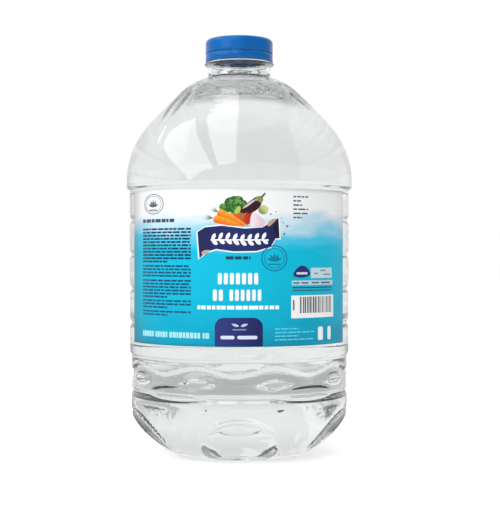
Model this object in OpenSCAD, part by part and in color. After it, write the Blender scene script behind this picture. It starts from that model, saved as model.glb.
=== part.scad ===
// Five-litre clear bottle of white vinegar: a blown bottle with a finger-grooved
// label panel, a wavy band and five scallops round its foot, a screw cap with its
// tamper band, the vinegar inside and one wrap label round the front.
// The origin is the centre of the foot, Z is up and the label faces -Y.

/* [Body] */
// Diameter of the lower body
body_d = 162; // [140:1:195]
// How far the label panel stands out from the lower body
panel_proud = 1.4; // [0.4:0.1:3]
// How far the upright band above the label panel stands out from the panel
bumper_proud = 2.2; // [0.6:0.1:4]
// Wall thickness of the body
wall = 0.5; // [0.4:0.1:1]

/* [Foot] */
// Width of the flat ring that the bottle stands on
foot_w = 4; // [2:0.5:8]
// Radius of the round corner between the foot and the lower body
corner_r = 39.5; // [25:1:48]
// Rise of the dome under the bottle
push_up = 9; // [4:0.5:16]
// Number of scallops round the corner
scallops = 5; // [3:1:7]
// Depth of a scallop at the middle of the corner
scallop_depth = 6.5; // [2:0.5:8]
// Radius of a scallop across its width
scallop_r = 136; // [60:1:200]

/* [Bands and grooves] */
// Distance from the round corner up to the middle of the round groove
ring_groove_gap = 7; // [5:0.5:14]
// Height of a round groove's opening
groove_h = 7; // [4:0.5:8]
// Depth of a round groove
groove_depth = 1.3; // [0.6:0.1:2]
// Distance from the round groove up to the middle of the wavy band
wave_gap = 17.5; // [14:0.5:24]
// Rise and fall of the wavy band
wave_rise = 2.8; // [1:0.1:4]
// Number of waves round the body
waves = 9; // [7:1:12]
// Direction of one low point of the wavy band, in degrees from the front
wave_turn = -2; // [-20:1:20]
// Depth of the wavy band's lenses
wave_depth = 1.5; // [0.6:0.1:2]
// Radius of a lens across its height
lens_r = 9; // [6:0.5:14]

/* [Label panel] */
// Distance from the middle of the wavy band up to the label panel
panel_gap = 11.5; // [11:0.5:20]
// Height of the label panel
panel_h = 119.5; // [90:0.5:150]
// Distance between two finger grooves
finger_pitch = 25.3; // [18:0.1:32]
// Least distance from an edge of the panel to the middle of a finger groove
finger_margin = 18; // [12:0.5:24]

/* [Shoulder] */
// Height of the upright band above the label panel, with its step
bumper_h = 7.5; // [5:0.5:14]
// Height of the step at either edge of the label panel
step_h = 2.5; // [1.5:0.1:4]
// Radius of the round shoulder, seen from the side
shoulder_r = 63; // [50:1:70]
// Slope of the shoulder's straight part, in degrees
shoulder_slope = 45; // [40:1:50]
// Radius round the axis where the straight part ends
crown_start_r = 45.2; // [40:0.2:50]
// Radius of the crown between the straight part and the neck
crown_r = 45.6; // [36:1:60]
// Depth of the creases in the shoulder
crease_depth = 0.9; // [0.3:0.1:1.5]
// Radius of a crease across its width
crease_r = 6; // [4:0.5:10]
// Half of the angle between the two creases of a pair
crease_spread = 8; // [5:0.5:14]

/* [Neck] */
// Diameter of the neck below the support ring
neck_d = 46.6; // [40:0.5:50]
// Length of the neck below the support ring
neck_len = 9.7; // [5:0.5:16]
// Wall thickness of the neck
neck_wall = 2.2; // [1.5:0.1:3]
// Radius of the corner between the shoulder and the neck
neck_fillet = 1.5; // [1:0.1:2]
// How far the support ring stands out from the neck
support_proud = 2.9; // [1.5:0.1:5]
// Thickness of the support ring
support_h = 2; // [1.5:0.1:3]
// Height of the neck above the support ring
finish_h = 16.2; // [14:0.2:24]

/* [Cap] */
// Wall thickness of the cap's skirt
cap_wall = 1.5; // [1:0.1:2.5]
// Thickness of the cap's top
cap_top = 1.6; // [1.2:0.1:3]
// Radius of the cap's rounded top edge
cap_edge_r = 3.2; // [1.5:0.1:4]
// Gap between the neck and the cap's skirt
cap_gap = 0.5; // [0.3:0.1:0.8]
// Height of the tamper band
band_h = 6.3; // [4:0.1:8]
// Gap above and below the tamper band
band_gap = 0.4; // [0.2:0.1:0.6]

/* [Vinegar] */
// Height of the vinegar's surface below the foot of the neck
level_drop = 5; // [4:0.5:40]

/* [Label] */
// Thickness of the label
label_t = 0.2; // [0.1:0.05:0.4]
// Gap between the label and the label panel's upper edge
label_top_gap = 1.5; // [0.5:0.5:10]
// Gap between the label and the label panel's lower edge
label_low_gap = 8.5; // [0.5:0.5:20]
// Direction of the label's left edge, in degrees from the front
label_left = -68; // [-120:1:-40]
// Direction of the label's right edge, in degrees from the front
label_right = 66; // [40:1:120]

/* [Hidden] */
// Direction of the front, in degrees from +X
FRONT = -90;
// Straight steps in one quarter of a round corner
ARC_STEPS = 12;
// Straight steps across a groove or a step
CROSS_STEPS = 8;
// How far a cut reaches past the surface that it opens
PAST = 1;

lower_r = body_d / 2;
panel_r = lower_r + panel_proud;
bumper_r = panel_r + bumper_proud;
neck_r = neck_d / 2;
bore_r = neck_r - neck_wall;
finish_r = neck_r;
support_r = neck_r + support_proud;
cap_in_r = finish_r + cap_gap;
cap_out_r = cap_in_r + cap_wall;

foot_out = lower_r - corner_r;
foot_in = foot_out - foot_w;
dome_r = (pow(push_up, 2) + pow(foot_in, 2)) / (2 * push_up);

ring_groove_z = corner_r + ring_groove_gap;
wave_z = ring_groove_z + wave_gap;
panel_z = wave_z + panel_gap;
panel_top = panel_z + panel_h;
fingers = floor((panel_h - 2 * finger_margin) / finger_pitch) + 1;
finger_z = panel_z + (panel_h - (fingers - 1) * finger_pitch) / 2;
shoulder_z = panel_top + bumper_h;

// The shoulder: a round part, a straight slope and the crown
round_end = [
    bumper_r - shoulder_r * (1 - cos(shoulder_slope)),
    shoulder_z + shoulder_r * sin(shoulder_slope)
];
slope_end = [
    crown_start_r,
    round_end.y + (round_end.x - crown_start_r) * tan(90 - shoulder_slope)
];
crown_centre = slope_end - crown_r * [cos(shoulder_slope), sin(shoulder_slope)];
crown_stop = acos((neck_r + neck_fillet - crown_centre.x) / crown_r);
crown_end = crown_centre + crown_r * [cos(crown_stop), sin(crown_stop)];

neck_z = crown_end.y;
support_z = neck_z + neck_len;
finish_z = support_z + support_h;
rim_z = finish_z + finish_h;
band_z = finish_z + band_gap;
skirt_z = band_z + band_h + band_gap;
cap_z = rim_z + cap_top;
level_z = neck_z - level_drop;

// Points along an arc round c, from angle a0 to angle a1
function arc(c, r, a0, a1) =
    let (n = max(2, ceil(abs(a1 - a0) / 90 * ARC_STEPS)))
    [for (i = [0:n]) let (a = a0 + (a1 - a0) * i / n) c + r * [cos(a), sin(a)]];

// Points across a groove in a wall of radius r, with its middle at height z
function groove(r, z) = [
    for (i = [0:CROSS_STEPS]) let (t = i / CROSS_STEPS * 2 - 1)
        [r - groove_depth * (1 + cos(180 * t)) / 2, z + groove_h / 2 * t]
];

// Points of a smooth step from radius r0 to radius r1
function smooth_step(r0, r1, z) = [
    for (i = [0:CROSS_STEPS]) let (t = i / CROSS_STEPS)
        [r0 + (r1 - r0) * (1 - cos(180 * t)) / 2, z + step_h * t]
];

// The outside of the body, from the middle of the foot to the foot of the neck
body_path = concat(
    arc([0, push_up - dome_r], dome_r, 90, atan2(dome_r - push_up, foot_in)),
    arc([foot_out, corner_r], corner_r, -90, 0),
    groove(lower_r, ring_groove_z),
    smooth_step(lower_r, panel_r, panel_z - step_h),
    [for (i = [0:fingers - 1]) each groove(panel_r, finger_z + i * finger_pitch)],
    smooth_step(panel_r, bumper_r, panel_top),
    arc([bumper_r - shoulder_r, shoulder_z], shoulder_r, 0, shoulder_slope),
    arc(crown_centre, crown_r, shoulder_slope, crown_stop)
);

// The same path moved inwards by t, square to the surface
function inset_path(path, t) = [
    for (i = [0:len(path) - 1]) let (
        along = path[min(i + 1, len(path) - 1)] - path[max(i - 1, 0)],
        outward = [along.y, -along.x] / norm(along),
        moved = path[i] - t * outward
    ) [i == 0 ? 0 : moved.x, moved.y]
];

// The neck, the support ring and the part inside the cap, from below to the rim
neck_path = concat(
    arc([neck_r + neck_fillet, neck_z + neck_fillet], neck_fillet, -90, -180),
    [
        [neck_r, support_z],
        [support_r, support_z],
        [support_r, finish_z],
        [finish_r, finish_z],
        [finish_r, rim_z]
    ]
);

// Places its children round the axis, at an angle from the front
module facing(a) {
    rotate([0, 0, FRONT + a]) children();
}

// One long cylinder along a sloping line of the surface, sunk to a depth there
module slope_cutter(point, slope, r, depth, inset, length) {
    outward = [cos(slope), sin(slope)];
    centre = point + (r - depth) * outward;
    translate([centre.x, 0, centre.y])
        rotate([0, -slope, 0])
            cylinder(r = r + inset, h = length, center = true);
}

// The five scallops that leave the bottle its feet
module scallop_cuts(inset) {
    middle = [foot_out, corner_r] + corner_r * [cos(-45), sin(-45)];
    for (i = [0:scallops - 1])
        facing(i * 360 / scallops)
            slope_cutter(middle, -45, scallop_r, scallop_depth, inset, 3 * corner_r);
}

// The four pairs of creases that run up the shoulder
module crease_cuts(inset) {
    middle = (round_end + slope_end) / 2;
    length = norm(round_end - slope_end) + crown_r;
    for (i = [0:3], side = [-1, 1])
        facing(45 + 90 * i + side * crease_spread)
            slope_cutter(middle, shoulder_slope, crease_r, crease_depth, inset, length);
}

// The wavy band: a zigzag of shallow lenses, each one side of a wave
module wave_cuts(inset) {
    sides = 2 * waves;
    lean = atan(2 * wave_rise / (2 * PI * lower_r / sides));
    for (i = [0:sides - 1])
        facing(wave_turn + (i + 0.5) * 360 / sides)
            translate([lower_r - wave_depth + lens_r, 0, wave_z])
                rotate([90 + (i % 2 == 0 ? lean : -lean), 0, 0])
                    cylinder(r = lens_r + inset, h = lower_r, center = true);
}

// A round solid with every cut in it, its surface moved inwards by inset
module shaped(profile, inset) {
    difference() {
        rotate_extrude() polygon(profile);
        scallop_cuts(inset);
        crease_cuts(inset);
        wave_cuts(inset);
    }
}

// The space inside the bottle
module cavity() {
    inside = inset_path(body_path, wall);
    top = inside[len(inside) - 1];
    shaped(concat(inside, [
        [bore_r, top.y + (top.x - bore_r) * tan(90 - crown_stop)],
        [bore_r, rim_z + PAST],
        [0, rim_z + PAST]
    ]), wall);
}

module bottle() {
    color([0.86, 0.91, 0.93, 0.45])
        difference() {
            shaped(concat(body_path, neck_path, [[0, rim_z]]), 0);
            cavity();
        }
}

module vinegar() {
    color([0.94, 0.96, 0.95, 0.6])
        intersection() {
            cavity();
            cylinder(r = bumper_r, h = level_z);
        }
}

module cap() {
    color([0.02, 0.36, 0.72])
        rotate_extrude()
            polygon(concat(
                [[0, rim_z], [cap_in_r, rim_z], [cap_in_r, skirt_z], [cap_out_r, skirt_z]],
                arc([cap_out_r - cap_edge_r, cap_z - cap_edge_r], cap_edge_r, 0, 90),
                [[0, cap_z]]
            ));
}

module tamper_band() {
    color([0.02, 0.36, 0.72])
        rotate_extrude()
            polygon([
                [cap_in_r, band_z],
                [cap_out_r, band_z],
                [cap_out_r, band_z + band_h],
                [cap_in_r, band_z + band_h]
            ]);
}

module label() {
    color([0.1, 0.72, 0.86])
        facing(label_left)
            rotate_extrude(angle = label_right - label_left)
                translate([panel_r, panel_z + label_low_gap])
                    square([label_t, panel_h - label_low_gap - label_top_gap]);
}

bottle();
vinegar();
cap();
tamper_band();
label();
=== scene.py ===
import math
import random

import bpy
from mathutils import Matrix, Vector, geometry, noise


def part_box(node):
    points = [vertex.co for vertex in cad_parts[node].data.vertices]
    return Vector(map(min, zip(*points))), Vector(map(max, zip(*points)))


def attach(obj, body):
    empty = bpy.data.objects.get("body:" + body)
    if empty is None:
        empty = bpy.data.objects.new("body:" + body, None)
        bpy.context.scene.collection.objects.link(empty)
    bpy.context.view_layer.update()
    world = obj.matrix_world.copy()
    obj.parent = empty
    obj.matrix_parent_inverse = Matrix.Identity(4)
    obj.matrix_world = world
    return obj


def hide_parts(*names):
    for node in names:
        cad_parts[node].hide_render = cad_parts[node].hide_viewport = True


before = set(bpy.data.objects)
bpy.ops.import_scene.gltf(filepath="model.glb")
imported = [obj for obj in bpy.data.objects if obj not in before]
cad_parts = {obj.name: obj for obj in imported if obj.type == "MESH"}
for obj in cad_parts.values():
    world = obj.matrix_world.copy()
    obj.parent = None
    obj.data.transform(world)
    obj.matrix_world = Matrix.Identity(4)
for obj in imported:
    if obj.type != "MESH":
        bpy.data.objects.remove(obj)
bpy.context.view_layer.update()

# ---------------------------------------------------------------- sizes
# Shapes are worked out in millimetres; MM turns them into the frame's metres.
# An angle round the bottle is in degrees from the front, towards +X.
MM = 0.001


def box_mm(node):
    low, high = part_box(node)
    return low / MM, high / MM


bottle_low, bottle_high = box_mm("bottle")
label_low, label_high = box_mm("label")
cap_low, cap_high = box_mm("cap")
band_low, band_high = box_mm("tamper_band")
LEVEL_Z = box_mm("vinegar")[1].z

BUMPER_R = (bottle_high.x - bottle_low.x) / 2
RIM_Z = bottle_high.z
CAP_R = (cap_high.x - cap_low.x) / 2
LABEL_R = -label_low.y

WALL = 0.5
INTO_WALL = 0.1            # how far the vinegar reaches into the wall
LABEL_T = 0.2
PANEL_R = LABEL_R - LABEL_T
BODY_R = PANEL_R - 1.4

FOOT_W = 4.0
CORNER_R = 39.5
PUSH_UP = 9.0
SCALLOPS = 5
SCALLOP_DEPTH = 6.5
SCALLOP_R = 136.0

RING_GROOVE_Z = CORNER_R + 7.0
WAVE_Z = RING_GROOVE_Z + 17.5
PANEL_Z = WAVE_Z + 11.5
PANEL_TOP = PANEL_Z + 119.5
FINGERS = 4
FINGER_PITCH = 25.3
FINGER_Z = (PANEL_Z + PANEL_TOP - (FINGERS - 1) * FINGER_PITCH) / 2
GROOVE_H = 7.0
GROOVE_DEPTH = 1.3
STEP_H = 2.5
BUMPER_H = 7.5

WAVES = 9
WAVE_TURN = -2.0
WAVE_RISE = 2.6
WAVE_DEPTH = 1.9

SHOULDER_R = 63.0
SLOPE = 45.0
CROWN_START_R = 45.2
CROWN_R = 45.6

CAP_GAP = 0.5
CAP_WALL = 1.5
NECK_R = CAP_R - CAP_WALL - CAP_GAP
BORE_R = NECK_R - 2.2
NECK_FILLET = 1.5
SUPPORT_R = NECK_R + 2.9
SUPPORT_H = 2.0
SUPPORT_Z = band_low.z - 0.4 - SUPPORT_H

SEGMENTS = 240             # steps round the bottle


# ---------------------------------------------------------------- outline
def arc(centre, radius, start, stop, step):
    """Points along an arc, in degrees, about step millimetres apart."""
    count = max(2, math.ceil(abs(stop - start) * math.pi / 180 * radius / step))
    angles = [math.radians(start + (stop - start) * i / count) for i in range(count + 1)]
    return [(centre[0] + radius * math.cos(a), centre[1] + radius * math.sin(a)) for a in angles]


def line(start, stop, step):
    """Points between two places, without the first of them."""
    length = math.dist(start, stop)
    count = max(1, math.ceil(length / step))
    return [
        (start[0] + (stop[0] - start[0]) * i / count, start[1] + (stop[1] - start[1]) * i / count)
        for i in range(1, count + 1)
    ]


def groove(radius, z, steps=10, deepest=0.5):
    """A groove GROOVE_H high; deepest says how far up it lies deepest."""
    points = []
    for i in range(steps + 1):
        t = i / steps
        sunk = t / deepest if t < deepest else (1 - t) / (1 - deepest)
        points.append((radius - GROOVE_DEPTH * (1 - math.cos(math.pi * sunk)) / 2, z + GROOVE_H * (t - 0.5)))
    return points


def smooth_step(start_r, stop_r, z, steps=6):
    return [
        (start_r + (stop_r - start_r) * (1 - math.cos(math.pi * i / steps)) / 2, z + STEP_H * i / steps)
        for i in range(steps + 1)
    ]


def join(path, more, step):
    """Adds points to a path, with a straight run of small steps before them."""
    if path and math.dist(path[-1], more[0]) > 1e-6:
        path += line(path[-1], more[0], step)[:-1]
    path += more if not path or math.dist(path[-1], more[0]) > 1e-6 else more[1:]


def body_path():
    """The outside from the middle of the foot up to the foot of the neck, as (radius, z)."""
    foot_out = BODY_R - CORNER_R
    foot_in = foot_out - FOOT_W
    dome_r = (PUSH_UP ** 2 + foot_in ** 2) / (2 * PUSH_UP)
    dome_stop = math.degrees(math.atan2(dome_r - PUSH_UP, foot_in))
    path = []
    join(path, arc((0, PUSH_UP - dome_r), dome_r, 90, dome_stop, 3.0), 3.0)
    join(path, arc((foot_out, CORNER_R), CORNER_R, -90, 0, 1.2), 1.5)
    join(path, groove(BODY_R, RING_GROOVE_Z, 12, 0.76), 1.2)
    join(path, smooth_step(BODY_R, PANEL_R, PANEL_Z - STEP_H), 1.0)
    for i in range(FINGERS):
        join(path, groove(PANEL_R, FINGER_Z + i * FINGER_PITCH, 8), 4.5)
    join(path, smooth_step(PANEL_R, BUMPER_R, PANEL_TOP), 4.5)
    shoulder_z = PANEL_TOP + BUMPER_H
    join(path, arc((BUMPER_R - SHOULDER_R, shoulder_z), SHOULDER_R, 0, SLOPE, 2.0), 2.0)
    slope_end = (CROWN_START_R, path[-1][1] + path[-1][0] - CROWN_START_R)
    tilt = math.radians(SLOPE)
    crown = (slope_end[0] - CROWN_R * math.cos(tilt), slope_end[1] - CROWN_R * math.sin(tilt))
    crown_stop = math.degrees(math.acos((NECK_R + NECK_FILLET - crown[0]) / CROWN_R))
    join(path, arc(crown, CROWN_R, SLOPE, crown_stop, 1.6), 1.8)
    return path


def neck_path(neck_z):
    """The neck from its foot up to the rim, with a rounded support ring."""
    edge = SUPPORT_H / 2
    path = arc((NECK_R + NECK_FILLET, neck_z + NECK_FILLET), NECK_FILLET, -90, -180, 0.5)
    path += line(path[-1], (NECK_R, SUPPORT_Z - 0.6), 1.5)
    path += [(NECK_R + 0.2, SUPPORT_Z - 0.15), (NECK_R + 0.8, SUPPORT_Z)]
    path += arc((SUPPORT_R - edge, SUPPORT_Z + edge), edge, -90, 90, 0.5)
    path += [(NECK_R + 0.3, SUPPORT_Z + SUPPORT_H)]
    path += line((NECK_R, SUPPORT_Z + SUPPORT_H + 0.3), (NECK_R, RIM_Z - 0.6), 3.0)
    path += [(NECK_R - 0.2, RIM_Z - 0.15), (NECK_R - 0.7, RIM_Z)]
    return path


def normals(path):
    """The outward direction at each point of a path."""
    found = []
    for i in range(len(path)):
        a, b = path[max(i - 1, 0)], path[min(i + 1, len(path) - 1)]
        length = math.dist(a, b)
        found.append(((b[1] - a[1]) / length, -(b[0] - a[0]) / length))
    found[0] = (0.0, -1.0)
    return found


# ---------------------------------------------------------------- relief
def soft(depth, blur):
    """Depth where it is positive and nothing elsewhere, with a rounded edge."""
    return (depth + math.sqrt(depth * depth + blur * blur)) / 2


def ease(t):
    t = min(max(t, 0.0), 1.0)
    return t * t * (3 - 2 * t)


def scallop_relief(angle, r, z):
    """The hollow of the nearest scallop, with a low bead along its edge."""
    if z > CORNER_R or r < BODY_R - CORNER_R:
        return 0.0
    pitch = 360 / SCALLOPS
    turn = math.radians((angle + pitch / 2) % pitch - pitch / 2)
    half = math.sqrt(0.5)
    middle_r = BODY_R - CORNER_R + CORNER_R * half + (SCALLOP_R - SCALLOP_DEPTH) * half
    middle_z = CORNER_R - CORNER_R * half - (SCALLOP_R - SCALLOP_DEPTH) * half
    across = ((r * math.cos(turn) - middle_r) - (z - middle_z)) * half
    depth = SCALLOP_R - math.hypot(across, r * math.sin(turn))
    bead = 0.9 * math.exp(-((depth + 0.3) / 0.9) ** 2)
    return (1.2 * soft(depth, 0.3) - bead) * ease((CORNER_R - z) / 4)


def bump_at(angle, z, spot, half_angle, height, half_h):
    """One smooth oval, 1 at its middle and 0 outside it."""
    off = (angle - spot + 180) % 360 - 180
    far = math.hypot(off / half_angle, (z - height) / half_h)
    return ease((1.0 - far) / 0.45)


def wave_relief(angle, z):
    """The sunk band: a sharp wavy brow, a floor that slopes back out, and raised pads in it."""
    swing = math.cos(math.radians(WAVES * (angle - WAVE_TURN)))
    top = WAVE_Z + 2.4 - WAVE_RISE * swing
    if z > top or z < WAVE_Z - 16:
        return 0.0
    slope = (z - (WAVE_Z - 14)) / (top - (WAVE_Z - 14))
    depth = WAVE_DEPTH * ease((top - z) / 1.5) * max(0.0, slope)
    pads = max(bump_at(angle, z, 40 * k + 20 + WAVE_TURN, 12.5, WAVE_Z - 5.6, 5.8) for k in range(WAVES))
    return depth * (1 - pads)


def pad_relief(angle, r, z):
    """Long raised pads across the ring groove, one between each two scallops."""
    pads = max(bump_at(angle, z, 72 * k + 38, 21, RING_GROOVE_Z + 4.0, 5.6) for k in range(SCALLOPS))
    return (BODY_R - r + 0.9) * pads


# Each crease: its angle at the top, its angle at the foot, and the two heights
CREASES = [
    (-48, -45, 276, 222), (-66, -50, 273, 232),
    (47, 58, 276, 248), (62, 76, 275, 250),
    (132, 138, 276, 226), (114, 130, 273, 236),
    (-133, -130, 276, 226), (-118, -128, 273, 240),
]


def crease_relief(angle, r, z):
    total = 0.0
    for top_angle, foot_angle, top_z, foot_z in CREASES:
        if z < foot_z:
            continue
        t = (top_z - z) / (top_z - foot_z)
        off = (angle - top_angle - (foot_angle - top_angle) * ease(t) + 180) % 360 - 180
        across = math.radians(off) * r
        total += 1.1 * math.exp(-(across / 2.3) ** 2) * ease(4 * t + 0.6) * ease((z - foot_z) / 18)
    return total


def unevenness(angle, r, z):
    """The slight wander of a blown wall, always inwards."""
    a = math.radians(angle)
    place = Vector((math.sin(a) * r, -math.cos(a) * r, z * 1.4)) / 30
    amount = ease((z - 6) / 30) * ease((270 - z) / 30)
    if PANEL_Z < z < PANEL_TOP:
        amount *= 0.5
    return 0.14 * (1 + noise.noise(place)) * amount


# Small raised mould marks: angle, height and half their width in degrees
MARKS = [(-7, 40.4, 4.4), (-17.5, 38.8, 2.0), (21, 38.0, 3.4)]


def relief(angle, r, z):
    """How far the wall sits inside its round outline, in millimetres."""
    total = unevenness(angle, r, z)
    if 35 < z < 43:
        total -= 0.7 * max(bump_at(angle, z, spot, half, height, 1.3) for spot, height, half in MARKS)
    if z < CORNER_R:
        total += scallop_relief(angle, r, z)
    elif z < PANEL_Z:
        total += wave_relief(angle, z)
        total -= pad_relief(angle, r, z)
    elif z > PANEL_TOP + BUMPER_H:
        total += crease_relief(angle, r, z)
    return total


# ---------------------------------------------------------------- meshes
def new_piece(name, vertices, faces, replaced=(), smooth=True):
    """A piece that rides on the bottle's body; vertices are in millimetres."""
    mesh = bpy.data.meshes.new(name)
    mesh.from_pydata([Vector(v) * MM for v in vertices], [], faces)
    mesh.validate()
    mesh.polygons.foreach_set("use_smooth", [smooth] * len(mesh.polygons))
    piece = bpy.data.objects.new(name, mesh)
    bpy.context.scene.collection.objects.link(piece)
    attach(piece, "root")
    if replaced:
        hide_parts(*replaced)
    return piece


def place(angle, r, z):
    a = math.radians(angle)
    return (math.sin(a) * r, -math.cos(a) * r, z)


def ring(point, normal, inset, shaped):
    """One row of points round the bottle, none of them below the floor."""
    row = []
    for k in range(SEGMENTS):
        angle = 360 * k / SEGMENTS
        depth = inset + (relief(angle, *point) if shaped else 0.0)
        row.append(place(angle, point[0] - depth * normal[0], max(0.0, point[1] - depth * normal[1])))
    return row


def plain_rings(path):
    return [ring(p, (0, 0), 0.0, False) for p in path]


def lathe(name, first_z, rings, last_z, replaced=()):
    """A closed piece from rings, with a point on the axis at either end."""
    vertices = [(0, 0, first_z)]
    for row in rings:
        vertices += row
    vertices.append((0, 0, last_z))
    last = len(vertices) - 1
    faces = []
    for k in range(SEGMENTS):
        n = (k + 1) % SEGMENTS
        faces.append((0, 1 + n, 1 + k))
        for i in range(len(rings) - 1):
            low, high = 1 + i * SEGMENTS, 1 + (i + 1) * SEGMENTS
            faces.append((low + k, low + n, high + n, high + k))
        top = 1 + (len(rings) - 1) * SEGMENTS
        faces.append((top + k, top + n, last))
    return new_piece(name, vertices, faces, replaced)


def tube(name, path, replaced=()):
    """A closed ring-shaped piece, from a closed outline of (radius, z) points."""
    vertices = []
    for row in plain_rings(path):
        vertices += row
    faces = []
    for i in range(len(path)):
        low, high = i * SEGMENTS, (i + 1) % len(path) * SEGMENTS
        for k in range(SEGMENTS):
            n = (k + 1) % SEGMENTS
            faces.append((low + k, low + n, high + n, high + k))
    return new_piece(name, vertices, faces, replaced)


def inner_rows(path, inset):
    """Every second point of the body's path, moved inwards, for the wall's inside."""
    directions = normals(path)
    picked = [i for i in range(2, len(path)) if i % 2 == 0 or i == len(path) - 1]
    return [(path[i], ring(path[i], directions[i], inset, True)) for i in picked]


def make_bottle(path):
    """The shell: up the outside, over the rim and down the inside."""
    directions = normals(path)
    rings = [ring(p, n, 0.0, True) for p, n in zip(path[1:], directions[1:])]
    rings += plain_rings(neck_path(path[-1][1])[1:])
    bore = [(BORE_R + 0.7, RIM_Z), (BORE_R + 0.2, RIM_Z - 0.15), (BORE_R, RIM_Z - 0.6)]
    bore += line(bore[-1], (BORE_R, path[-1][1] + 1.5), 3.0)
    bore += [(BORE_R + 0.5, path[-1][1] + 0.5)]
    rings += plain_rings(bore)
    rings += [row for _, row in reversed(inner_rows(path, WALL))]
    return lathe("bottle_shell", path[0][1], rings, path[0][1] + WALL, ["bottle"])


def make_vinegar(path):
    """The contents up to LEVEL_Z, whose surface rises a little where it meets the wall."""
    inset = WALL - INTO_WALL
    rows = [(p, row) for p, row in inner_rows(path, inset) if p[1] < LEVEL_Z - 1.0]
    rings = [row for _, row in rows]
    low, high = rows[-1][0], next(p for p in path if p[1] > LEVEL_Z)
    t = (LEVEL_Z - low[1]) / (high[1] - low[1])
    edge_r = low[0] + (high[0] - low[0]) * t - inset / math.sqrt(2)
    for inward, drop in ((0.0, 0.0), (0.5, 0.7), (1.2, 1.1), (2.4, 1.4), (4.5, 1.5), (20.0, 1.5)):
        rings.append([place(360 * k / SEGMENTS, edge_r - inward, LEVEL_Z - drop) for k in range(SEGMENTS)])
    return lathe("vinegar_body", path[0][1] + inset, rings, LEVEL_Z - 1.5, ["vinegar"])


def make_cap():
    """The cap: a round top edge, a straight skirt and a hollow inside."""
    edge = 3.2
    low, high = cap_low.z, cap_high.z
    inside = CAP_R - CAP_WALL
    path = [(8.0, high - 0.35), (16.0, high - 0.35), (17.2, high - 0.3), (17.8, high)]
    path += arc((CAP_R - edge, high - edge), edge, 90, 0, 0.35)
    path += line(path[-1], (CAP_R, low + 0.25), 1.5) + [(CAP_R - 0.25, low)]
    path += [(inside + 0.2, low), (inside, low + 0.3), (inside, RIM_Z - 0.5), (inside - 0.5, RIM_Z)]
    rings = plain_rings(list(reversed(path)))
    return lathe("screw_cap", RIM_Z, rings, high - 0.35, ["cap"])


def make_band():
    """The tamper band, a plain ring below the cap."""
    low, high = band_low.z, band_high.z
    inside = CAP_R - CAP_WALL
    return tube("tamper_ring", [
        (inside + 0.2, low), (CAP_R - 0.3, low), (CAP_R, low + 0.3), (CAP_R, high - 0.25),
        (CAP_R - 0.25, high), (inside + 0.2, high), (inside, high - 0.25), (inside, low + 0.25),
    ], ["tamper_band"])


def make_bridges():
    """The thin bridges that break when the cap is first turned."""
    vertices, faces = [], []
    low, high = band_high.z - 0.2, cap_low.z + 0.2
    count, width = 24, 1.4
    for i in range(count):
        start = len(vertices)
        for z in (low, high):
            for r in (CAP_R - 0.9, CAP_R - 0.35):
                for side in (-1, 1):
                    vertices.append(place(360 * (i + 0.5) / count + side * width, r, z))
        for face in ((0, 1, 3, 2), (4, 6, 7, 5), (0, 4, 5, 1), (2, 3, 7, 6), (0, 2, 6, 4), (1, 5, 7, 3)):
            faces.append([start + c for c in face])
    return new_piece("tamper_bridges", vertices, faces, smooth=False)


# ---------------------------------------------------------------- label
# The print is laid out flat: s is the distance along the label from the front
# and h the height above PRINT_Z, both in millimetres.
LABEL_LEFT = -68.0
LABEL_RIGHT = 66.0
FILM_T = 0.12
PRINT_Z = label_high.z - 110.5   # the print's own zero, a little below the label


def on_label(s, h, lift):
    return place(math.degrees(s / PANEL_R), PANEL_R + lift, PRINT_Z + h)


def make_label():
    """The film, closed, with its flat layout kept as a UV map in millimetres / 100."""
    columns, rows = 134, 36
    left, right = math.radians(LABEL_LEFT) * PANEL_R, math.radians(LABEL_RIGHT) * PANEL_R
    bottom, top = label_low.z - PRINT_Z, label_high.z - PRINT_Z
    vertices, flat, faces = [], [], []
    for lift in (0.01, FILM_T):
        for i in range(columns + 1):
            for j in range(rows + 1):
                s = left + (right - left) * i / columns
                h = bottom + (top - bottom) * j / rows
                vertices.append(on_label(s, h, lift))
                flat.append((s / 100, h / 100))
    back = (columns + 1) * (rows + 1)
    at = lambda i, j, side: side * back + i * (rows + 1) + j
    for i in range(columns):
        for j in range(rows):
            faces.append((at(i, j, 1), at(i + 1, j, 1), at(i + 1, j + 1, 1), at(i, j + 1, 1)))
            faces.append((at(i, j, 0), at(i, j + 1, 0), at(i + 1, j + 1, 0), at(i + 1, j, 0)))
    for i in range(columns):
        faces.append((at(i, 0, 0), at(i + 1, 0, 0), at(i + 1, 0, 1), at(i, 0, 1)))
        faces.append((at(i, rows, 1), at(i + 1, rows, 1), at(i + 1, rows, 0), at(i, rows, 0)))
    for j in range(rows):
        faces.append((at(0, j, 1), at(0, j + 1, 1), at(0, j + 1, 0), at(0, j, 0)))
        faces.append((at(columns, j, 0), at(columns, j + 1, 0), at(columns, j + 1, 1), at(columns, j, 1)))
    piece = new_piece("label_film", vertices, faces, ["label"])
    layer = piece.data.uv_layers.new(name="flat")
    for loop in piece.data.loops:
        layer.data[loop.index].uv = flat[loop.vertex_index]
    piece.data.materials.append(printed_film())
    piece.data.materials.append(printed_film(back=True))
    for index in range(1, 2 * columns * rows, 2):      # the faces on the bottle's side
        piece.data.polygons[index].material_index = 1


PRINT_STEP = 2.5           # spacing of the points inside a printed shape
PRINT_SUNK = 0.05          # how far a shape's underside lies within the film
PRINT_LAYER = 0.018        # how much higher each layer of ink lies


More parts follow.
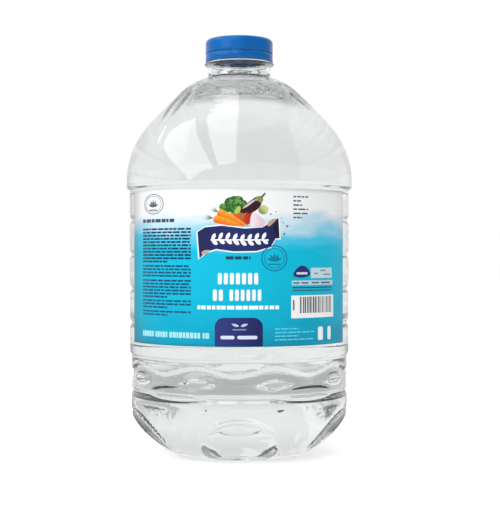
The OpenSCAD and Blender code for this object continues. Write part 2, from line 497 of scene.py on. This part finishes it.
class Print:
    """Flat coloured shapes gathered into one closed mesh that follows the label."""

    def __init__(self, name):
        self.name, self.vertices, self.faces, self.colours = name, [], [], []
        self.lift = 0.0

    def add(self, outline, colour, layer=1):
        """One shape; colour is an (r, g, b) or a function of (s, h) that gives one."""
        points = []
        for i, start in enumerate(outline):
            stop = outline[(i + 1) % len(outline)]
            steps = max(1, math.ceil(abs(stop[0] - start[0]) / PRINT_STEP))
            points += [
                Vector((start[0] + (stop[0] - start[0]) * k / steps,
                        start[1] + (stop[1] - start[1]) * k / steps))
                for k in range(steps)
            ]
        edges = [(i, (i + 1) % len(points)) for i in range(len(points))]
        lows = [min(p[k] for p in points) for k in (0, 1)]
        highs = [max(p[k] for p in points) for k in (0, 1)]
        inner = []
        s = math.ceil(lows[0] / PRINT_STEP) * PRINT_STEP
        while s < highs[0]:
            h = math.ceil(lows[1] / PRINT_STEP) * PRINT_STEP
            while h < highs[1]:
                inner.append(Vector((s + 0.013, h + 0.017)))   # a hair off, so none falls on an edge
                h += PRINT_STEP
            s += PRINT_STEP
        filled = geometry.delaunay_2d_cdt(points + inner, edges, [], 1, 1e-4)
        spots, triangles = filled[0], filled[2]
        self.lift += 0.0001    # no two shapes lie in quite the same plane
        low = FILM_T - PRINT_SUNK + self.lift
        high = FILM_T + PRINT_LAYER * layer + self.lift
        start, count = len(self.vertices), len(spots)
        for lift in (high, low):
            for spot in spots:
                self.vertices.append(on_label(spot.x, spot.y, lift))
                self.colours.append(colour(spot.x, spot.y) if callable(colour) else colour)
        seen = set()
        for tri in triangles:
            a, b, c = tri
            if geometry.area_tri(spots[a], spots[b], spots[c]) == 0:
                continue
            turn = (spots[b] - spots[a]).cross(spots[c] - spots[a])
            if turn < 0:
                b, c = c, b
            self.faces.append((start + a, start + b, start + c))
            self.faces.append((start + count + a, start + count + c, start + count + b))
            for edge in ((a, b), (b, c), (c, a)):
                if (edge[1], edge[0]) in seen:
                    seen.remove((edge[1], edge[0]))
                else:
                    seen.add(edge)
        for a, b in seen:
            self.faces.append((start + b, start + a, start + count + a, start + count + b))

    def make(self):
        piece = new_piece(self.name, self.vertices, self.faces, smooth=False)
        layer = piece.data.color_attributes.new("ink", "FLOAT_COLOR", "POINT")
        for i, colour in enumerate(self.colours):
            layer.data[i].color = (*colour, 1.0)
        piece.data.materials.append(INK)
        return piece


def srgb(red, green, blue):
    """A colour from 0-255 values, as the linear one that shaders take."""
    parts = [c / 255 for c in (red, green, blue)]
    return tuple(c / 12.92 if c <= 0.04045 else ((c + 0.055) / 1.055) ** 2.4 for c in parts)


def mix(a, b, t):
    return tuple(x + (y - x) * t for x, y in zip(a, b))


def spun(spot, lean):
    """A place turned about the origin by lean degrees."""
    c, d = math.cos(math.radians(lean)), math.sin(math.radians(lean))
    return spot[0] * c - spot[1] * d, spot[0] * d + spot[1] * c


def oval(s, h, half_w, half_h=None, count=24, lean=0.0):
    half_h = half_w if half_h is None else half_h
    points = []
    for i in range(count):
        a = 2 * math.pi * i / count
        x, y = spun((half_w * math.cos(a), half_h * math.sin(a)), lean)
        points.append((s + x, h + y))
    return points


def round_corner(s, h, r, start, count):
    """A quarter circle about (s, h), from start degrees."""
    angles = [math.radians(start + 90 * i / count) for i in range(count + 1)]
    return [(s + r * math.cos(a), h + r * math.sin(a)) for a in angles]


def bar(left, right, low, high):
    return [(left, low), (right, low), (right, high), (left, high)]


def block(left, right, low, high, r=None, count=4):
    """A bar with round corners; with no radius, its short ends are half circles."""
    r = min(high - low, right - left) / 2 if r is None else r
    outline = []
    for s, h, start in (
        (right - r, low + r, -90), (right - r, high - r, 0),
        (left + r, high - r, 90), (left + r, low + r, 180),
    ):
        outline += round_corner(s, h, r, start, count)
    return outline


def ring_band(s, h, outer, inner, squash=1.0, count=36):
    """A flat ring, as short four-cornered pieces a hair apart; squash makes it lower than wide."""
    pieces = []
    for i in range(count):
        a, b = 2 * math.pi * (i + 0.01) / count, 2 * math.pi * (i + 0.99) / count
        pieces.append([
            (s + r * math.cos(t), h + r * math.sin(t) * squash)
            for r, t in ((inner, a), (outer, a), (outer, b), (inner, b))
        ])
    return pieces


def curve(points, steps=6):
    """A smooth closed outline through a few points."""
    count, found = len(points), []
    for i in range(count):
        p = [Vector(points[(i + k) % count]) for k in (-1, 0, 1, 2)]
        for j in range(steps):
            t = j / steps
            found.append(tuple(0.5 * (
                2 * p[1] + (p[2] - p[0]) * t
                + (2 * p[0] - 5 * p[1] + 4 * p[2] - p[3]) * t * t
                + (3 * p[1] - p[0] - 3 * p[2] + p[3]) * t ** 3)))
    return found


WHITE = srgb(250, 252, 252)
NAVY = srgb(34, 44, 112)
TEAL_LINE = srgb(0, 122, 160)


def make_text_rows(ink):
    """Small print as rows of plain dashes."""
    rng = random.Random(4)

    def rows(left, right, top, count, pitch, thick, colour, short=()):
        for i in range(count):
            h = top - i * pitch
            end = right - (right - left) * (0.42 if i in short else 0.0)
            s = left
            while s < end - 0.8:
                word = min(rng.uniform(2.0, 6.5), end - s)
                ink.add(bar(s, s + word, h - thick / 2, h + thick / 2), colour)
                s += word + rng.uniform(0.5, 1.0)

    rows(-81.5, -34.5, 82.6, 11, 2.28, 1.35, srgb(14, 58, 92), short=(10,))
    rows(-81.5, -34.5, 56.6, 4, 2.28, 1.3, srgb(4, 76, 116))
    rows(-81.5, -34.5, 46.4, 6, 2.28, 1.35, srgb(2, 78, 118), short=(5,))
    rows(-81.5, -34.5, 32.2, 3, 2.28, 1.3, srgb(0, 84, 124), short=(2,))
    rows(-81.5, -34.5, 24.6, 2, 2.2, 1.25, srgb(0, 86, 126), short=(1,))
    rows(-81.5, -48.0, 88.6, 1, 2.0, 2.4, srgb(60, 78, 92))
    rows(-9.2, 7.8, 62.4, 1, 2.0, 2.2, srgb(24, 66, 96))
    rows(-29.5, 28.0, 28.2, 1, 2.0, 2.6, WHITE)
    rows(39.0, 51.5, 105.0, 6, 2.9, 1.0, srgb(84, 92, 98), short=(1, 2, 5))
    rows(25.0, 57.0, 13.2, 4, 2.5, 0.8, srgb(110, 214, 236), short=(0, 2))
    s = -81.5
    while s < -22.5:
        wide = rng.choice((1.6, 2.1, 2.6))
        ink.add(block(s, s + wide, 6.6, 10.6, 0.4), srgb(168, 228, 240))
        s += wide + rng.choice((0.5, 0.5, 0.5, 1.8))


def make_title(ink):
    """Where the words stand: rows of bold white blocks."""
    for left, right, low, high in (
        (-15.5, 13.8, 44.2, 52.0), (-19.0, -10.6, 32.8, 40.6), (-7.4, 16.0, 32.8, 40.6),
    ):
        count = max(1, round((right - left) / 4.1))
        width = (right - left) / count
        for i in range(count):
            ink.add(block(left + i * width + 0.7, left + (i + 1) * width - 0.7, low, high, 1.0), WHITE, 2)


def make_ribbon(ink):
    """A navy ribbon with folded ends and a white edge, bare but for a small sprig."""
    def sweep(grow):
        top = [(-29.5 - grow, 80.3), (-24.0, 83.6 + grow), (-12.0, 84.6 + grow), (4.0, 82.6 + grow),
               (16.0, 83.4 + grow), (24.5, 88.4 + grow), (27.6 + grow, 90.0 + grow)]
        bottom = [(28.4 + grow, 76.0 - grow), (25.6, 76.0 - grow), (22.0, 70.2 - grow),
                  (12.0, 67.2 - grow), (-4.0, 66.9 - grow), (-16.0, 68.6 - grow),
                  (-22.5, 66.6 - grow), (-28.0 - grow, 62.2 - grow)]
        return top + bottom

    ink.add(sweep(0.9), WHITE, 2)
    ink.add(sweep(0.0), lambda s, h: mix(NAVY, srgb(22, 28, 84), ease(abs(s) / 34)), 3)
    ink.add([(24.0, 84.6), (27.4, 89.6), (28.3, 76.2), (26.2, 76.4)], srgb(14, 18, 54), 4)
    ink.add(curve([(19.4, 85.4), (21.6, 88.2), (24.4, 89.4), (26.4, 89.2), (23.6, 86.4), (21.0, 84.2)]),
            srgb(196, 160, 132), 4)
    ink.add(curve([(-26.4, 66.4), (-23.6, 67.8), (-20.2, 67.6), (-22.6, 65.6), (-25.6, 64.4)]),
            srgb(196, 164, 140), 4)
    leaf = [(0.0, 0.0), (1.5, 1.5), (3.9, 2.0), (6.0, 0.9), (4.6, -0.7), (2.2, -1.0)]
    for i in range(8):
        root = (-19.2 + i * 5.0, 74.5 + 0.6 * math.sin(i * 1.1))
        for lean in (48, -36):
            turned = [spun(spot, lean) for spot in leaf]
            ink.add(curve([(root[0] + 0.8 * x, root[1] + 0.95 * y) for x, y in turned], 3), WHITE, 4)
    ink.add(block(-20.0, 20.6, 74.3, 75.3), WHITE, 4)


def make_vegetables(ink):
    """The heap of vegetables above the ribbon, as plain coloured shapes."""
    rng = random.Random(11)
    for tip, lean in (((-18.0, 94.6), 40), ((-21.5, 90.4), 12)):
        for k in range(5):
            a = math.radians(180 - lean + (k - 2) * 13)
            root = (tip[0] + 3.0, tip[1] - 0.6)
            end = (root[0] + 6.4 * math.cos(a), root[1] + 6.4 * math.sin(a) * 0.8)
            wide = (-math.sin(a) * 0.4, math.cos(a) * 0.4)
            ink.add([(root[0] - wide[0], root[1] - wide[1]), end, (root[0] + wide[0], root[1] + wide[1])],
                    srgb(120, 150, 120), 2)
    # broccoli: a stalk under a heap of small heads
    ink.add(curve([(-6.0, 92.0), (-3.0, 90.6), (1.6, 92.0), (3.6, 96.0), (-1.0, 98.0), (-5.4, 96.0)]),
            srgb(150, 190, 84), 2)
    heads = [(-8.0, 97.0, 3.6), (-3.4, 101.2, 4.2), (2.0, 99.0, 3.8), (-10.6, 94.2, 3.0), (5.0, 97.4, 2.9),
             (-2.6, 96.4, 4.0), (-6.4, 100.6, 3.8), (1.2, 95.4, 2.6), (-11.2, 97.6, 2.6), (-0.4, 102.2, 3.2)]
    for s, h, r in heads:
        ink.add(oval(s, h, r, r * 0.9), srgb(44, 104, 44), 3)
    for s, h, r in heads:
        for _ in range(9):
            a, far = rng.uniform(0, 6.28), rng.uniform(0.1, 0.85) * r
            shade = mix(srgb(52, 118, 50), srgb(126, 180, 88), rng.random() ** 2)
            spot = (s + far * math.cos(a), h + far * math.sin(a) * 0.9)
            ink.add(oval(*spot, rng.uniform(0.5, 1.0), count=8), shade, 4)
    # eggplant with a green cap and a pale shine
    ink.add(curve([(0.2, 96.4), (3.4, 98.4), (7.6, 101.6), (12.2, 104.6), (15.2, 103.0), (15.2, 99.4),
                   (12.4, 95.8), (8.0, 93.4), (3.4, 93.2), (0.4, 94.2)]), srgb(56, 24, 36), 6)
    ink.add(curve([(2.0, 96.4), (5.6, 97.8), (9.6, 100.8), (12.4, 103.0), (9.0, 101.9), (5.0, 99.0)]),
            srgb(226, 208, 200), 7)
    ink.add(curve([(10.6, 102.0), (12.4, 104.6), (15.4, 104.8), (16.6, 102.4), (15.0, 100.4), (13.2, 101.6)]),
            srgb(140, 150, 84), 7)
    ink.add([(14.8, 104.4), (17.6, 107.4), (18.4, 106.6), (15.8, 103.6)], srgb(92, 84, 60), 8)
    # a round green gourd
    pale, deep = srgb(206, 216, 150), srgb(128, 152, 72)
    ink.add(oval(16.8, 95.6, 3.6, 3.2), lambda s, h: mix(pale, deep, ease((17 - s + 95 - h) / 6 + 0.4)), 3)
    # garlic
    ink.add(curve([(9.0, 93.4), (12.4, 92.6), (16.6, 89.0), (17.6, 85.4), (14.0, 83.4), (9.4, 83.6),
                   (7.4, 86.8)]),
            lambda s, h: mix(srgb(248, 236, 236), srgb(232, 200, 208), ease((s - 7) / 10)), 6)
    # tomato
    ink.add(oval(2.9, 91.0, 7.0, 6.2),
            lambda s, h: mix(srgb(240, 84, 48), srgb(190, 30, 24), ease((s + 3) / 11)), 5)
    ink.add(curve([(-1.4, 93.8), (2.0, 92.4), (5.6, 94.0), (3.0, 90.8), (2.4, 88.2), (0.8, 91.0)]),
            srgb(150, 126, 60), 6)

    def carrot(root, tip, half, layer):
        """One carrot from its root end to its tip, with three short creases."""
        along = Vector((tip[0] - root[0], tip[1] - root[1]))
        side = Vector((-along.y, along.x)).normalized()

        def at(t, w):
            return tuple(Vector(root) + along * t + side * w)

        outline = curve([at(0, half * 0.6), at(0.08, half), at(0.5, half * 0.8), at(0.97, 0.3), at(1, 0),
                         at(0.97, -0.3), at(0.5, -half * 0.8), at(0.08, -half), at(0, -half * 0.6)], 4)

        def colour(s, h):
            across = (Vector((s, h)) - Vector(root)).dot(side) / half
            return mix(srgb(255, 172, 40), srgb(226, 104, 20), ease(0.5 - across / 2))

        ink.add(outline, colour, layer)
        for t in (0.18, 0.36, 0.55):
            outer, inner, end = half * 0.62, half * 0.1, t + 0.015
            ink.add([at(t, outer), at(end, outer), at(end, inner), at(t, inner)],
                    srgb(222, 110, 30), layer + 1)

    carrot((-14.6, 94.0), (6.0, 84.6), 2.7, 7)
    carrot((-17.4, 89.6), (3.0, 84.2), 2.6, 9)
    # leaves by the tomato and a few flecks of herb
    ink.add(curve([(-2.0, 96.6), (0.4, 98.2), (1.0, 95.6), (-0.8, 93.0), (-3.4, 93.4)]),
            srgb(170, 206, 92), 8)
    for s, h, r in (
        (22.0, 92.6, 0.7), (26.0, 94.4, 0.5), (31.2, 86.8, 0.5),
        (34.2, 84.4, 0.9), (29.6, 90.2, 0.4), (32.0, 79.0, 0.8),
    ):
        ink.add(oval(s, h, r, r * 0.7, 8, 30), srgb(48, 66, 70), 2)


def make_tab(ink):
    """The navy tab at the foot of the label, with a plain sprig and a bar."""
    r = 6.5
    left, right, top = -17.0, 16.4, 21.2
    outline = [(left, 1.4), (right, 1.4)]
    outline += round_corner(right - r, top - r, r, 0, 6)
    outline += round_corner(left + r, top - r, r, 90, 6)
    ink.add(outline, lambda s, h: mix(srgb(44, 54, 124), srgb(24, 32, 96), ease((s + 17) / 34)), 2)
    for side in (-1, 1):
        leaf = [(0.6, 15.4), (2.8, 17.0), (5.6, 16.8), (3.0, 15.0)]
        ink.add(curve([(0.4 + side * s, h) for s, h in leaf]), srgb(196, 204, 234), 3)
    ink.add(block(-4.6, 5.0, 12.6, 13.3), srgb(150, 160, 206), 3)
    for left_s, right_s in ((-13.0, -3.2), (-1.4, 12.6)):
        ink.add(block(left_s, right_s, 6.4, 8.8), srgb(222, 226, 242), 3)


def make_seals(ink):
    """Two line-drawn round seals with a plain leaf in each."""
    for s, h, r, squash, colour in (
        (-68.6, 100.4, 11.0, 0.66, srgb(86, 92, 98)), (24.8, 62.2, 9.6, 0.94, TEAL_LINE),
    ):
        for gap, thick in ((0.0, 0.8), (2.2, 0.5)):
            for piece in ring_band(s, h, r - gap, r - gap - thick, squash):
                ink.add(piece, colour, 2)
        for k in range(5):
            a = math.radians(90 + (k - 2) * 34)
            mid = (s + 3.4 * math.cos(a), h - 2.0 + 3.0 * math.sin(a))
            tip = (s + 6.2 * math.cos(a), h - 2.0 + 5.6 * math.sin(a))
            wide = (-math.sin(a) * 0.9, math.cos(a) * 0.9)
            ink.add([
                (s, h - 2.4), (mid[0] + wide[0], mid[1] + wide[1]), tip, (mid[0] - wide[0], mid[1] - wide[1]),
            ], colour, 2)
        ink.add(block(s - 4.4, s + 4.4, h - 4.6, h - 3.8), colour, 2)


def make_code(ink):
    """The white box of upright bars, and the small panel above it."""
    rng = random.Random(23)
    ink.add(bar(37.4, 78.4, 20.4, 36.2), WHITE, 2)
    s = 44.4
    while s < 76.2:
        width = rng.choice((0.35, 0.5, 0.8, 1.1))
        ink.add(bar(s, s + width, 23.8, 35.2), srgb(44, 40, 60), 3)
        s += width + rng.choice((0.45, 0.6, 0.95))
    ink.add(bar(38.8, 39.9, 26.0, 33.0), srgb(70, 70, 80), 3)
    ink.add(bar(37.8, 77.4, 43.4, 46.6), srgb(196, 216, 226), 2)
    ink.add(bar(38.4, 76.8, 41.2, 42.0), srgb(40, 66, 96), 2)
    ink.add(bar(38.4, 76.8, 39.2, 40.0), srgb(60, 90, 116), 2)
    ink.add(bar(54.0, 76.4, 48.2, 55.4), srgb(206, 224, 234), 2)
    for s, h, wide in ((57.0, 51.0, 4.0), (63.0, 53.0, 6.0), (66.4, 50.2, 8.0)):
        ink.add(block(s, s + wide, h, h + 1.0), srgb(120, 150, 170), 3)
    ink.add(curve([(39.2, 50.0), (41.4, 54.6), (46.4, 57.0), (51.4, 54.8), (53.0, 50.4), (46.0, 48.6)]),
            NAVY, 2)
    ink.add(block(41.4, 51.0, 50.8, 52.4), srgb(214, 222, 240), 3)
    for left, right in ((38.8, 44.0), (45.6, 51.8), (55.0, 62.0), (64.0, 74.0)):
        ink.add(bar(left, right, 44.4, 45.4), srgb(70, 92, 120), 3)
    ink.add(block(60.8, 66.0, 4.4, 13.8, 1.2), WHITE, 2)
    ink.add(block(71.2, 75.0, 4.4, 13.8, 1.2), WHITE, 2)


# ---------------------------------------------------------------- materials
def material(name, **values):
    """A Principled material with some inputs set by name."""
    made = bpy.data.materials.new(name)
    made.use_nodes = True
    shader = made.node_tree.nodes["Principled BSDF"]
    for key, value in values.items():
        shader.inputs[key.replace("_", " ")].default_value = value
    return made, made.node_tree, shader


def add(tree, kind, **settings):
    node = tree.nodes.new(kind)
    for key, value in settings.items():
        setattr(node, key, value)
    return node


def grain(tree, where, scale, detail=2.0):
    """Noise, from 0 to 1."""
    cloud = add(tree, "ShaderNodeTexNoise")
    cloud.inputs["Scale"].default_value = scale
    cloud.inputs["Detail"].default_value = detail
    tree.links.new(where, cloud.inputs["Vector"])
    return cloud.outputs["Fac"]


def moved(tree, where, scale, location=(0.0, 0.0, 0.0)):
    """Coordinates scaled, then moved."""
    shift = add(tree, "ShaderNodeMapping")
    shift.inputs["Location"].default_value = location
    shift.inputs["Scale"].default_value = scale
    tree.links.new(where, shift.inputs["Vector"])
    return shift.outputs[0]


def multiply_add(tree, source, factor, plus):
    """A number times factor, plus another."""
    sum_up = add(tree, "ShaderNodeMath", operation="MULTIPLY_ADD")
    sum_up.inputs[1].default_value = factor
    sum_up.inputs[2].default_value = plus
    tree.links.new(source, sum_up.inputs[0])
    return sum_up.outputs[0]


def multiplied(tree, first, second):
    """Two colours multiplied."""
    both = add(tree, "ShaderNodeMix", data_type="RGBA", blend_type="MULTIPLY")
    both.inputs["Factor"].default_value = 1.0
    tree.links.new(first, both.inputs[6])
    tree.links.new(second, both.inputs[7])
    return both.outputs[2]


def colour_ramp(tree, source, stops):
    """A ramp through (position, linear colour) stops, in rising order."""
    ramp = add(tree, "ShaderNodeValToRGB")
    elements = ramp.color_ramp.elements
    for i, (spot, colour) in enumerate(stops):
        element = elements[i] if i < 2 else elements.new(spot)
        element.position = spot
        element.color = (*colour, 1)
    tree.links.new(source, ramp.inputs["Fac"])
    return ramp.outputs["Color"]


def grey_ramp(tree, source, stops):
    """A ramp of greys for a number between -1 and 1."""
    halved = multiply_add(tree, source, 0.5, 0.5)
    return colour_ramp(tree, halved, [((spot + 1) / 2, (grey, grey, grey)) for spot, grey in stops])


def noise_bump(tree, shader, scales, strength, distance):
    """A bump from one or more layers of noise in object space."""
    where = add(tree, "ShaderNodeTexCoord").outputs["Object"]
    height = None
    for scale, weight in scales:
        part = add(tree, "ShaderNodeMath", operation="MULTIPLY")
        part.inputs[1].default_value = weight
        tree.links.new(grain(tree, where, scale), part.inputs[0])
        if height is None:
            height = part.outputs[0]
        else:
            total = add(tree, "ShaderNodeMath", operation="ADD")
            tree.links.new(height, total.inputs[0])
            tree.links.new(part.outputs[0], total.inputs[1])
            height = total.outputs[0]
    bump = add(tree, "ShaderNodeBump")
    bump.inputs["Strength"].default_value = strength
    bump.inputs["Distance"].default_value = distance
    tree.links.new(height, bump.inputs["Height"])
    tree.links.new(bump.outputs["Normal"], shader.inputs["Normal"])


def clear_plastic():
    """The bottle's wall, with the slight ripple of blown plastic."""
    made, tree, shader = material(
        "clear_plastic", Base_Color=(0.94, 0.95, 0.947, 1), Roughness=0.012, IOR=1.5,
        Transmission_Weight=1.0)
    noise_bump(tree, shader, ((60.0, 1.0), (260.0, 0.25)), 0.25, 0.0006)
    return made


def white_vinegar():
    """A clear liquid, a little greyer through its depth."""
    made, tree, shader = material(
        "white_vinegar", Base_Color=(0.962, 0.972, 0.966, 1), Roughness=0.0, IOR=1.335,
        Transmission_Weight=1.0)
    noise_bump(tree, shader, ((18.0, 1.0),), 0.12, 0.0008)
    return made


def blue_plastic():
    """Moulded plastic with a faint mottle and a fine grain."""
    made, tree, shader = material("blue_plastic", Roughness=0.24, IOR=1.4, Specular_IOR_Level=0.35)
    where = add(tree, "ShaderNodeTexCoord").outputs["Object"]
    blues = ((0.3, srgb(0, 96, 172)), (0.7, srgb(0, 108, 190)))
    colour = colour_ramp(tree, grain(tree, where, 90.0), blues)
    tree.links.new(colour, shader.inputs["Base Color"])
    noise_bump(tree, shader, ((900.0, 1.0), (120.0, 0.6)), 0.15, 0.0002)
    return made


# The film's colours going up, and the painted shade that darkens its two ends along it; 1 is 100 mm of the
# flat layout
FILM_COLOURS = (
    (0.0, srgb(0, 148, 180)), (0.2, srgb(0, 178, 212)), (0.46, srgb(0, 190, 222)),
    (0.66, srgb(0, 192, 226)), (0.77, srgb(84, 204, 238)), (0.86, srgb(196, 228, 242)),
    (0.95, srgb(250, 251, 252)),
)
FILM_ENDS_PAINTED_SHADE = ((-0.96, 0.56), (-0.84, 0.84), (-0.66, 1.0), (0.8, 1.0), (0.93, 0.9))


def printed_film(back=False):
    """White at the top, washing into cyan, with pale streaks as in water and painted shade darkening both
    ends.
    The back, seen through the bottle, is white film with the print showing through."""
    name = "film_back" if back else "printed_film"
    made, tree, shader = material(name, Roughness=0.38, IOR=1.33, Specular_IOR_Level=0.3)
    flat = add(tree, "ShaderNodeUVMap", uv_map="flat").outputs["UV"]
    apart = add(tree, "ShaderNodeSeparateXYZ")
    tree.links.new(flat, apart.inputs[0])
    wash = grain(tree, moved(tree, flat, (2.2, 7.0, 1.0)), 1.0, 3.0)
    height = add(tree, "ShaderNodeMath", operation="ADD")
    tree.links.new(apart.outputs["Y"], height.inputs[0])
    tree.links.new(multiply_add(tree, wash, 0.3, -0.15), height.inputs[1])
    washed = colour_ramp(tree, height.outputs[0], FILM_COLOURS)
    # painted shade: the film's colour darkened towards both of its ends
    colour = multiplied(tree, washed, grey_ramp(tree, apart.outputs["X"], FILM_ENDS_PAINTED_SHADE))
    if back:
        pale = add(tree, "ShaderNodeMix", data_type="RGBA")
        pale.inputs["Factor"].default_value = 0.55
        pale.inputs[7].default_value = (0.93, 0.94, 0.945, 1)
        tree.links.new(colour, pale.inputs[6])
        colour = pale.outputs[2]
    tree.links.new(colour, shader.inputs["Base Color"])
    noise_bump(tree, shader, ((40.0, 1.0), (700.0, 0.12)), 0.1, 0.0004)
    return made


def printed_ink():
    """The inks, whose colours the meshes carry."""
    made, tree, shader = material("printed_ink", Roughness=0.36, IOR=1.33)
    ink = add(tree, "ShaderNodeAttribute", attribute_name="ink")
    tree.links.new(ink.outputs["Color"], shader.inputs["Base Color"])
    noise_bump(tree, shader, ((700.0, 1.0),), 0.05, 0.0002)
    return made


def floor_paint():
    """Pale for the camera; what the bottle bends light from glows, with a painted shadow close behind it."""
    made, tree, shader = material(
        "floor_paint", Base_Color=(0.93, 0.93, 0.93, 1), Roughness=0.7, Emission_Color=(1, 1, 1, 1))
    noise_bump(tree, shader, ((30.0, 1.0),), 0.05, 0.001)
    where = add(tree, "ShaderNodeTexCoord").outputs["Object"]
    # painted shadow: a darker patch on the floor close behind the bottle, seen only through it
    painted_shadow = add(tree, "ShaderNodeTexGradient", gradient_type="SPHERICAL")
    tree.links.new(moved(tree, where, (4.4, 3.7, 1.0), (0.0, -0.93, 0.0)), painted_shadow.inputs["Vector"])
    table_glow = add(tree, "ShaderNodeEmission")
    tree.links.new(grey_ramp(tree, painted_shadow.outputs["Fac"], TABLE_GLOW_AND_PAINTED_SHADOW), table_glow.inputs["Color"])
    near = add(tree, "ShaderNodeTexGradient", gradient_type="SPHERICAL")
    tree.links.new(moved(tree, where, (0.8, 0.8, 0.8)), near.inputs["Vector"])
    tree.links.new(grey_ramp(tree, near.outputs["Fac"], GLOW), shader.inputs["Emission Strength"])
    path = add(tree, "ShaderNodeLightPath")
    choose = add(tree, "ShaderNodeMixShader")
    tree.links.new(path.outputs["Is Camera Ray"], choose.inputs["Fac"])
    tree.links.new(table_glow.outputs[0], choose.inputs[1])
    tree.links.new(shader.outputs[0], choose.inputs[2])
    tree.links.new(choose.outputs[0], tree.nodes["Material Output"].inputs["Surface"])
    return made


# ---------------------------------------------------------------- stage
# Greys of the walls: by height (the sine of the rise), from left to right, and from front to back
WALL_RISE = ((0.0, 1.0), (0.11, 1.0), (0.2, 0.92), (0.3, 0.8), (0.5, 0.9), (0.8, 0.95))
WALL_ACROSS = ((-1.0, 0.9), (-0.7, 1.0), (0.7, 1.0), (0.88, 0.6), (1.0, 0.42))
WALL_BACK = ((-0.6, 0.3), (-0.2, 0.5), (0.15, 1.0))
# Greys of the table as the bottle bends them, darker close behind it as a painted shadow, and its glow, from
# far off to close by
TABLE_GLOW_AND_PAINTED_SHADOW = ((0.0, 0.95), (0.37, 0.56))
GLOW = ((0.0, 1.0), (0.85, 0.6))
FILL = ((-1.0, 0.85), (0.0, 0.3), (1.0, 0.8))    # light on matt surfaces, from front to back
WINDOW = 1.7               # brightness of the window lamps


def make_floor():
    half = 6.0
    mesh = bpy.data.meshes.new("floor")
    corners = [(-half, -half, 0), (half, -half, 0), (half, half, 0), (-half, half, 0)]
    mesh.from_pydata(corners, [], [(0, 1, 2, 3)])
    floor = bpy.data.objects.new("floor", mesh)
    floor.data.materials.append(floor_paint())
    bpy.context.scene.collection.objects.link(floor)


def make_world():
    """Plain white to the camera, a soft fill for matt surfaces, and for what the bottle bends
    and mirrors a white wall behind it that fades to grey at the sides and higher up."""
    world = bpy.data.worlds.new("studio")
    bpy.context.scene.world = world
    world.use_nodes = True
    world.cycles.sampling_method = "NONE"
    tree = world.node_tree
    tree.nodes.clear()
    out = add(tree, "ShaderNodeOutputWorld")
    where = add(tree, "ShaderNodeTexCoord").outputs["Generated"]
    apart = add(tree, "ShaderNodeSeparateXYZ")
    tree.links.new(where, apart.inputs[0])
    wall = grey_ramp(tree, apart.outputs["Z"], WALL_RISE)
    for source, stops in ((apart.outputs["X"], WALL_ACROSS), (apart.outputs["Y"], WALL_BACK)):
        wall = multiplied(tree, wall, grey_ramp(tree, source, stops))
    path = add(tree, "ShaderNodeLightPath")
    shader = None
    for colour, kind in (
        (wall, None), (grey_ramp(tree, apart.outputs["Y"], FILL), "Diffuse Depth"), (None, "Is Camera Ray"),
    ):
        light = add(tree, "ShaderNodeBackground")
        light.inputs["Color"].default_value = (1, 1, 1, 1)
        if colour:
            tree.links.new(colour, light.inputs["Color"])
        if shader is None:
            shader = light.outputs[0]
            continue
        choose = add(tree, "ShaderNodeMixShader")
        tree.links.new(path.outputs[kind], choose.inputs["Fac"])
        tree.links.new(shader, choose.inputs[1])
        tree.links.new(light.outputs[0], choose.inputs[2])
        shader = choose.outputs[0]
    tree.links.new(shader, out.inputs["Surface"])


def make_lights():
    def pane(name, corner, down, left, radiance):
        """A rectangular lamp from one corner and two edges, facing the bottle."""
        corner, down, left = Vector(corner), Vector(down), Vector(left)
        light = bpy.data.lights.new(name, "AREA")
        light.shape = "RECTANGLE"
        light.size, light.size_y = left.length, down.length
        light.energy = radiance * math.pi * left.length * down.length
        lamp = bpy.data.objects.new(name, light)
        back = left.cross(down).normalized()
        across = left.normalized()
        lamp.matrix_world = Matrix((across, back.cross(across), back)).transposed().to_4x4()
        lamp.location = corner + (down + left) / 2
        lamp.visible_camera = False
        bpy.context.scene.collection.objects.link(lamp)

    middle = Vector((0, 0, 0.22))
    corner = middle + Vector((-0.05, 0.28, 2.57))
    down, left = Vector((-0.03, -2.95, -1.63)), Vector((-2.54, 0.53, -0.79))
    pane("window_right", corner, down, left * 0.30, WINDOW)
    pane("window_left", corner + left * 0.42, down, left * 0.58, WINDOW)


def make_camera():
    """Level with the bottle's waist, a little under a metre away."""
    away, eye, lens = 0.9425, 0.1488, 87.2
    camera = bpy.data.cameras.new("camera")
    camera.lens = lens
    camera.sensor_width = 36.0
    camera.shift_x = 0.0209
    camera.shift_y = -0.0097
    view = bpy.data.objects.new("camera", camera)
    view.location = (0, -away, eye)
    view.rotation_euler = (math.radians(90), 0, 0)
    bpy.context.scene.collection.objects.link(view)
    bpy.context.scene.camera = view


# ---------------------------------------------------------------- making
make_camera()
make_floor()
make_world()
make_lights()

INK = printed_ink()
outline = body_path()
make_bottle(outline).data.materials.append(clear_plastic())
make_vinegar(outline).data.materials.append(white_vinegar())
blue = blue_plastic()
for made in (make_cap(), make_band(), make_bridges()):
    made.data.materials.append(blue)
make_label()
for name, draw in (
    ("print_text", make_text_rows), ("print_title", make_title), ("print_ribbon", make_ribbon),
    ("print_vegetables", make_vegetables), ("print_tab", make_tab), ("print_seals", make_seals),
    ("print_code", make_code),
):
    shapes = Print(name)
    draw(shapes)
    shapes.make()

scene = bpy.context.scene
scene.view_settings.view_transform = "Standard"
scene.cycles.max_bounces = 24
scene.cycles.transmission_bounces = 24
scene.cycles.glossy_bounces = 8
scene.cycles.caustics_refractive = True
scene.cycles.caustics_reflective = True
